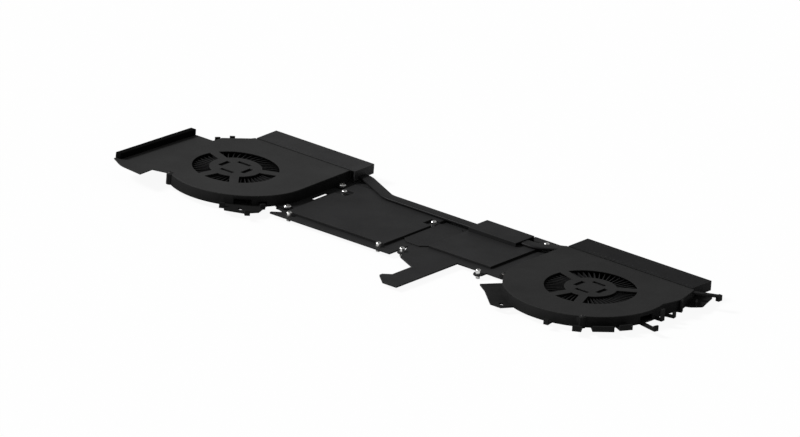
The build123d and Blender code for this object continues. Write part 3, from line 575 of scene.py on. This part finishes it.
def screwTree():
    tree, size, leave = newTree("screwSet", {
        "Head Radius": "Float", "Head Height": "Float", "Head Chamfer": "Float", "Recess Length": "Float",
        "Recess Width": "Float", "Recess Depth": "Float", "Shank Radius": "Float", "Shank Length": "Float",
        "Neck Length": "Float", "Thread Pitch": "Float", "Thread Depth": "Float", "Ring": "Bool",
        "Ring Radius": "Float", "Ring Wire": "Float", "Seed": "Int", "Material": "Material"})
    barrel = put(tree, "GeometryNodeMeshCylinder", {
        "Vertices": screwFacets["head"], "Radius": size["Head Radius"], "Depth": size["Head Height"]})["Mesh"]
    barrel = moved(tree, barrel, calc(tree, "MULTIPLY", size["Head Height"], 0.5))
    # the cone that cuts the chamfer runs past both ends
    spare = calc(tree, "MULTIPLY", size["Head Chamfer"], 0.5)
    coneTop = calc(tree, "SUBTRACT", size["Head Radius"], calc(tree, "MULTIPLY", spare, 3.0))
    coneDepth = calc(tree, "ADD", size["Head Height"], size["Head Chamfer"])
    cone = put(tree, "GeometryNodeMeshCone", {
        "Vertices": screwFacets["head"], "Radius Top": coneTop,
        "Radius Bottom": calc(tree, "ADD", coneTop, coneDepth), "Depth": coneDepth})["Mesh"]
    cone = moved(tree, cone, calc(tree, "MULTIPLY", spare, -1.0))
    head = put(tree, "GeometryNodeMeshBoolean", {
        "Mesh 2": [barrel, cone]}, operation="INTERSECT", solver="EXACT")["Mesh"]
    depth = calc(tree, "MULTIPLY", size["Recess Depth"], 2.0)
    wings = []
    for sides in (("Recess Length", "Recess Width"), ("Recess Width", "Recess Length")):
        box = put(tree, "ShaderNodeCombineXYZ", {"X": size[sides[0]], "Y": size[sides[1]], "Z": depth})[0]
        cube = put(tree, "GeometryNodeMeshCube", {"Size": box})["Mesh"]
        wings.append(moved(tree, cube, size["Head Height"]))
    cross = put(tree, "GeometryNodeMeshBoolean", {
        "Mesh 2": wings}, operation="UNION", solver="EXACT")["Mesh"]
    head = put(tree, "GeometryNodeMeshBoolean", {
        "Mesh 1": head, "Mesh 2": [cross]}, operation="DIFFERENCE", solver="EXACT")["Mesh"]
    coreRadius = calc(tree, "SUBTRACT", size["Shank Radius"], size["Thread Depth"])
    core = put(tree, "GeometryNodeMeshCylinder", {
        "Vertices": screwFacets["shank"], "Radius": coreRadius, "Depth": size["Shank Length"]})["Mesh"]
    core = moved(tree, core, calc(tree, "MULTIPLY", size["Shank Length"], -0.5))
    threadLength = calc(tree, "SUBTRACT", size["Shank Length"], size["Neck Length"])
    turns = calc(tree, "DIVIDE", threadLength, size["Thread Pitch"])
    helix = put(tree, "GeometryNodeCurveSpiral", {
        "Resolution": screwFacets["shank"], "Rotations": turns, "Start Radius": coreRadius,
        "End Radius": coreRadius, "Height": threadLength})[0]
    ridge = circle(tree, screwFacets["ridge"], size["Thread Depth"])
    thread = put(tree, "GeometryNodeCurveToMesh", {
        "Curve": helix, "Profile Curve": ridge, "Fill Caps": True})[0]
    thread = moved(tree, thread, calc(tree, "MULTIPLY", size["Shank Length"], -1.0))
    hoop = circle(tree, screwFacets["ring"], size["Ring Radius"])
    wire = circle(tree, screwFacets["wire"], size["Ring Wire"])
    ring = put(tree, "GeometryNodeCurveToMesh", {"Curve": hoop, "Profile Curve": wire})[0]
    ringDrop = calc(tree, "ADD", size["Neck Length"], size["Ring Wire"])
    ring = moved(tree, ring, calc(tree, "MULTIPLY", ringDrop, -1.0))
    ring = put(tree, "GeometryNodeSwitch", {
        "Switch": size["Ring"], "True": ring}, input_type="GEOMETRY")[0]
    screw = put(tree, "GeometryNodeJoinGeometry", {"Geometry": [head, core, thread, ring]})[0]
    chance = put(tree, "FunctionNodeRandomValue", {
        "Max": (0.0, 0.0, math.pi), "Seed": size["Seed"]}, data_type="FLOAT_VECTOR")[0]
    turn = put(tree, "FunctionNodeEulerToRotation", {"Euler": chance})[0]
    spots = put(tree, "GeometryNodeMeshToPoints", {"Mesh": size["Geometry"]})[0]
    screws = put(tree, "GeometryNodeInstanceOnPoints", {
        "Points": spots, "Instance": screw, "Rotation": turn})[0]
    return closeTree(tree, screws, size["Material"], leave)


screwSizes = {  # mm
    "captive": {"Head Radius": 1.25, "Head Height": 1.9, "Head Chamfer": 0.25, "Recess Length": 1.5,
                "Recess Width": 0.42, "Recess Depth": 0.75, "Shank Radius": 1.0, "Shank Length": 2.4,
                "Neck Length": 0.8, "Thread Pitch": 0.4, "Thread Depth": 0.13, "Ring Radius": 1.15,
                "Ring Wire": 0.14},
    "fan": {"Head Radius": 1.75, "Head Height": 0.85, "Head Chamfer": 0.3, "Recess Length": 2.0,
            "Recess Width": 0.5, "Recess Depth": 0.5, "Shank Radius": 0.9, "Shank Length": 1.55,
            "Neck Length": 0.3, "Thread Pitch": 0.4, "Thread Depth": 0.12},
    "cover": {"Head Radius": 1.2, "Head Height": 0.35, "Head Chamfer": 0.12, "Recess Length": 1.4,
              "Recess Width": 0.35, "Recess Depth": 0.25, "Shank Radius": 0.6, "Shank Length": 2.0,
              "Neck Length": 0.2, "Thread Pitch": 0.3, "Thread Depth": 0.08},
}
screwPlaces = {  # kind, finish key, slot, ring, spots in mm
    "leftCaptives": ("captive", "screw", "screw", True,
                     [(-56.2, -17.7, 2.6), (-56.2, 23.0, 2.6), (-5.2, -17.7, 2.6), (-5.2, 23.0, 2.6)]),
    "rightCaptives": ("captive", "screw", "screw", True,
                      [(46.2, -10.6, 2.6), (46.2, 39.8, 2.6), (5.9, -14.6, 2.6)]),
    "leftFanScrews": ("fan", "screw", "screw", False, [(-62.3, 29.3, 3.4), (-62.3, -11.1, 3.4)]),
    "rightFanScrews": ("fan", "blackScrew", "black_screw", False, [(56.9, 27.0, 3.4), (56.9, -4.5, 3.4)]),
    "coverScrews": ("cover", "blackScrew", "black_screw", False,
                    [(-117.54, -26.52, 8.0), (119.91, -29.12, 8.0)]),
}


def makeScrews():
    tree = screwTree()
    made = {}
    for seed, (name, (kind, key, slot, ring, spots)) in enumerate(screwPlaces.items()):
        values = {label: value * mm for label, value in screwSizes[kind].items()}
        values.update({"Ring": ring, "Seed": seed, "Material": finish[key]})
        made[name] = growPiece(name, spots, [], tree, values)
    return made


screws = makeScrews()
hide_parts("left_captive_screws")
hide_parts("right_captive_screws")


# heat pipes: flattened tube drawn along its route
pipeSteps = {"bend": 16, "side": 7}


def pipeTree():
    tree, size, leave = newTree("flatPipe", {
        "Width": "Float", "Thickness": "Float", "Side Radius": "Float", "Bend Radius": "Float",
        "Material": "Material"})
    route = put(tree, "GeometryNodeMeshToCurve", {"Mesh": size["Geometry"]})[0]
    bent = put(tree, "GeometryNodeFilletCurve", {
        "Curve": route, "Count": pipeSteps["bend"], "Radius": size["Bend Radius"]}, mode="POLY")[0]
    bent = put(tree, "GeometryNodeSetCurveNormal", {"Curve": bent}, mode="Z_UP")[0]
    flat = put(tree, "GeometryNodeCurvePrimitiveQuadrilateral", {
        "Width": size["Width"], "Height": size["Thickness"]})[0]
    flat = put(tree, "GeometryNodeFilletCurve", {
        "Curve": flat, "Count": pipeSteps["side"], "Radius": size["Side Radius"]}, mode="POLY")[0]
    pipe = put(tree, "GeometryNodeCurveToMesh", {"Curve": bent, "Profile Curve": flat, "Fill Caps": True})[0]
    return closeTree(tree, pipe, size["Material"], leave)


pipeSize = {"Width": 5.6, "Thickness": 1.4, "Side Radius": 0.66, "Bend Radius": 10.0}  # mm
pipeLevel = 4.4
pipeSmoothing = 50.0  # degrees
pipeRoutes = {
    "leftPipe": [(-116.5, 43.4), (-59.0, 43.4), (-38.0, 31.6), (23.0, 31.6)],
    "rightPipe": [(24.5, 33.0), (46.0, 33.0), (57.0, 41.0), (130.2, 41.0)],
}


def makePipes():
    tree = pipeTree()
    for name, route in pipeRoutes.items():
        values = {label: value * mm for label, value in pipeSize.items()}
        values["Material"] = finish["pipe"]
        points = [(x, y, pipeLevel) for x, y in route]
        piece = growPiece(name, points, [(0, 1), (1, 2), (2, 3)], tree, values, pipeSmoothing)
        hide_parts(name[:-4] + "_heat_pipe")


makePipes()


# foam strip on the wing: soft rounded edges and a slightly uneven skin
gasket = {
    "weld": 0.001, "flatAngle": 0.02,  # mm, radians
    "rounding": 0.45, "rings": 3, "profile": 0.6,
    "longShare": 0.6, "slices": 60,
    "unevenness": 0.09, "lump": 3.0, "stuckHeight": 1.0,  # mm
}


def makeGasket(strip):
    form = bmesh.new()
    form.from_mesh(nodes["gasket_strip"].data)
    bmesh.ops.remove_doubles(form, verts=form.verts, dist=strip["weld"] * mm)
    bmesh.ops.dissolve_limit(form, angle_limit=strip["flatAngle"], verts=form.verts, edges=form.edges)
    bmesh.ops.bevel(form, geom=form.edges[:], offset=strip["rounding"] * mm, segments=strip["rings"],
                    profile=strip["profile"], affect="EDGES")
    longest = max(e.calc_length() for e in form.edges)
    runs = [e for e in form.edges if e.calc_length() > strip["longShare"] * longest]
    bmesh.ops.subdivide_edges(form, edges=runs, cuts=strip["slices"], use_grid_fill=True)
    form.normal_update()
    base = min(v.co.z for v in form.verts)
    for v in form.verts:
        lump = mathNoise.noise(v.co / (strip["lump"] * mm)) * 0.5 + 0.5
        lift = min(1.0, (v.co.z - base) / (strip["stuckHeight"] * mm))  # stays flat where it is stuck down
        v.co -= v.normal * lump * lift * strip["unevenness"] * mm
    bmesh.ops.recalc_face_normals(form, faces=form.faces)
    mesh = bpy.data.meshes.new("foamStrip")
    form.to_mesh(mesh)
    form.free()
    mesh.shade_smooth()
    mesh.materials.append(finish["foam"])
    piece = bpy.data.objects.new("foamStrip", mesh)
    scene.collection.objects.link(piece)
    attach(piece, "module")
    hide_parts("gasket_strip")
    print("foam strip made:", len(mesh.polygons), "faces")


makeGasket(gasket)


# fin stacks: embossed locks that zip one fin to the next
tabTaper = {"top": 0.54, "foot": 0.707}  # half diagonals of a tab that is one wide


def lockTree():
    tree, size, leave = newTree("finLocks", {
        "Count": "Int", "Pitch": "Float", "Length": "Float", "Width": "Float", "Height": "Float",
        "Material": "Material"})
    step = put(tree, "ShaderNodeCombineXYZ", {"X": size["Pitch"]})[0]
    row = put(tree, "GeometryNodeMeshLine", {"Count": size["Count"], "Offset": step})[0]
    starts = put(tree, "GeometryNodeMeshToPoints", {"Mesh": size["Geometry"]})[0]
    rows = put(tree, "GeometryNodeInstanceOnPoints", {"Points": starts, "Instance": row})[0]
    spots = put(tree, "GeometryNodeRealizeInstances", {"Geometry": rows})[0]
    spots = put(tree, "GeometryNodeMeshToPoints", {"Mesh": spots})[0]
    tab = put(tree, "GeometryNodeMeshCone", {
        "Vertices": 4, "Radius Top": tabTaper["top"], "Radius Bottom": tabTaper["foot"],
        "Depth": 1.0})["Mesh"]
    tab = put(tree, "GeometryNodeTransform", {"Geometry": tab, "Rotation": (0.0, 0.0, math.pi / 4)})[0]
    shape = put(tree, "ShaderNodeCombineXYZ", {
        "X": size["Length"], "Y": size["Width"], "Z": size["Height"]})[0]
    tab = put(tree, "GeometryNodeTransform", {"Geometry": tab, "Scale": shape})[0]
    locks = put(tree, "GeometryNodeInstanceOnPoints", {"Points": spots, "Instance": tab})[0]
    return closeTree(tree, locks, size["Material"], leave)


lockSize = {"Pitch": 2.2, "Length": 1.1, "Width": 0.7, "Height": 0.06}  # mm
lockInset = 2.0  # from the front and rear edges of the stack
lockSmoothing = 20.0  # degrees


def makeLocks():
    tree = lockTree()
    for side in ("left", "right"):
        low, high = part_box(side + "_fin_stack")
        count = int((high.x - low.x) / mm / lockSize["Pitch"]) - 1
        first = ((low.x + high.x) / mm - (count - 1) * lockSize["Pitch"]) / 2
        starts = [(first, y, high.z / mm) for y in (low.y / mm + lockInset, high.y / mm - lockInset)]
        values = {label: value * mm for label, value in lockSize.items()}
        values.update({"Count": count, "Material": finish[side + "Fins"]})
        growPiece(side + "FinLocks", starts, [], tree, values, lockSmoothing)


makeLocks()

# flat tongue of the right housing beside its outlet; all in mm
outletTongue = {
    "outline": [(134.6, 26.6), (137.6, 28.2), (141.2, 32.6), (139.6, 37.0), (137.2, 44.6),
                (135.0, 47.2), (126.0, 47.2), (126.0, 35.6), (133.2, 34.0)],
    "bottom": 2.62, "top": 3.48, "corner": 0.9, "edge": 0.15,
}

# shelf of the left carrier under the pipe's bend; all in mm
pipeShelf = {
    "outline": [(-68.0, 35.0), (-56.0, 35.0), (-52.0, 38.5), (-58.6, 42.4), (-62.0, 44.6), (-68.0, 44.6)],
    "bottom": 1.84, "top": 2.56, "corner": 0.6, "edge": 0.1,
}
plateSteps = {"corner": 4, "edge": 2, "profile": 0.5}


def roundPlate(form, edges, part, plate):
    bmesh.ops.bevel(form, geom=edges, offset=plate[part] * mm, segments=plateSteps[part],
                    profile=plateSteps["profile"], affect="EDGES")


def makePlate(name, plate, slotName):
    form = bmesh.new()
    bottom, thickness = plate["bottom"] * mm, (plate["top"] - plate["bottom"]) * mm
    foot = form.faces.new([form.verts.new((x * mm, y * mm, bottom)) for x, y in plate["outline"]])
    grown = bmesh.ops.extrude_face_region(form, geom=[foot])["geom"]
    lifted = [v for v in grown if isinstance(v, bmesh.types.BMVert)]
    bmesh.ops.translate(form, vec=Vector((0, 0, thickness)), verts=lifted)
    upright = [e for e in form.edges if abs(e.verts[0].co.z - e.verts[1].co.z) > thickness / 2]
    roundPlate(form, upright, "corner", plate)
    rims = [e for e in form.edges if abs(e.verts[0].co.z - e.verts[1].co.z) < thickness / 2]
    roundPlate(form, rims, "edge", plate)
    bmesh.ops.recalc_face_normals(form, faces=form.faces)
    mesh = bpy.data.meshes.new(name)
    form.to_mesh(mesh)
    form.free()
    mesh.materials.append(finish[slotName])
    piece = bpy.data.objects.new(name, mesh)
    scene.collection.objects.link(piece)
    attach(piece, "module")
    print(name, "made:", len(mesh.polygons), "faces")


makePlate("outletTongue", outletTongue, "housing")
makePlate("pipeShelf", pipeShelf, "carrier")
